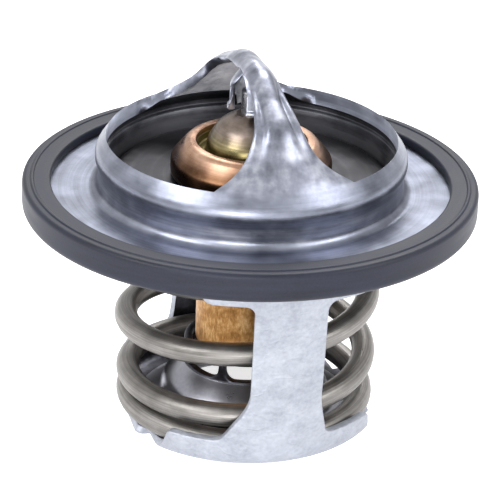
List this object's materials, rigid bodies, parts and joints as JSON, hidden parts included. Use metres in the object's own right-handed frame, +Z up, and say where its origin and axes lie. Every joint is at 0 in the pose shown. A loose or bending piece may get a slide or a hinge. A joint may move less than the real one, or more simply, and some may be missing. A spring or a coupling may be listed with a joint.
{
  "type": "engine thermostat",
  "caption": "Wax-element coolant valve: a sealed flange with a raised bridge over a copper capsule, a spring-loaded valve plate and a perforated guide in a two-legged frame.",
  "frame": {"origin": "on the axis, at the underside of the spring frame's floor", "axes": "+Z up along the axis towards the bridge; -Y is the side seen in front, with one leg of the frame a little to its right"},
  "size_m": [0.056, 0.056, 0.047],
  "materials": {
    "stainless_steel": "pressed stainless sheet, satin, with drawing marks",
    "gasket_rubber": "moulded dark slate rubber, satin",
    "zinc_plated_steel": "zinc-plated sheet, matt and pale",
    "spring_steel": "drawn spring wire, grey-brown",
    "piston_steel": "ground",
    "plate_steel": "dark stained sheet",
    "seal_rubber": "moulded",
    "copper": "turned and crimped copper alloy, lightly tarnished",
    "brass": "machined, dulled",
    "washer_plastic": "turned",
    "wax": "wax filled with copper powder"
  },
  "bodies": {
    "housing": {"flange_bridge": "stainless_steel", "flange_gasket": "gasket_rubber", "frame": "zinc_plated_steel", "spring": "spring_steel", "piston": "piston_steel"},
    "element": {"valve_plate": "plate_steel", "valve_seal": "seal_rubber", "capsule_cup": "copper", "guide_cone": "brass", "rubber_sleeve": "seal_rubber", "backup_washer": "washer_plastic", "wiper_ring": "seal_rubber", "wax_charge": "wax"}
  },
  "joints": [
    {"name": "valve_lift", "type": "slide", "parent": "housing", "child": "element", "axis": [0, 0, -1], "range_m": [0, 0.008], "stiffness_N_per_m": 9000, "springref_m": -0.001, "deforming": ["spring"]}
  ]
}
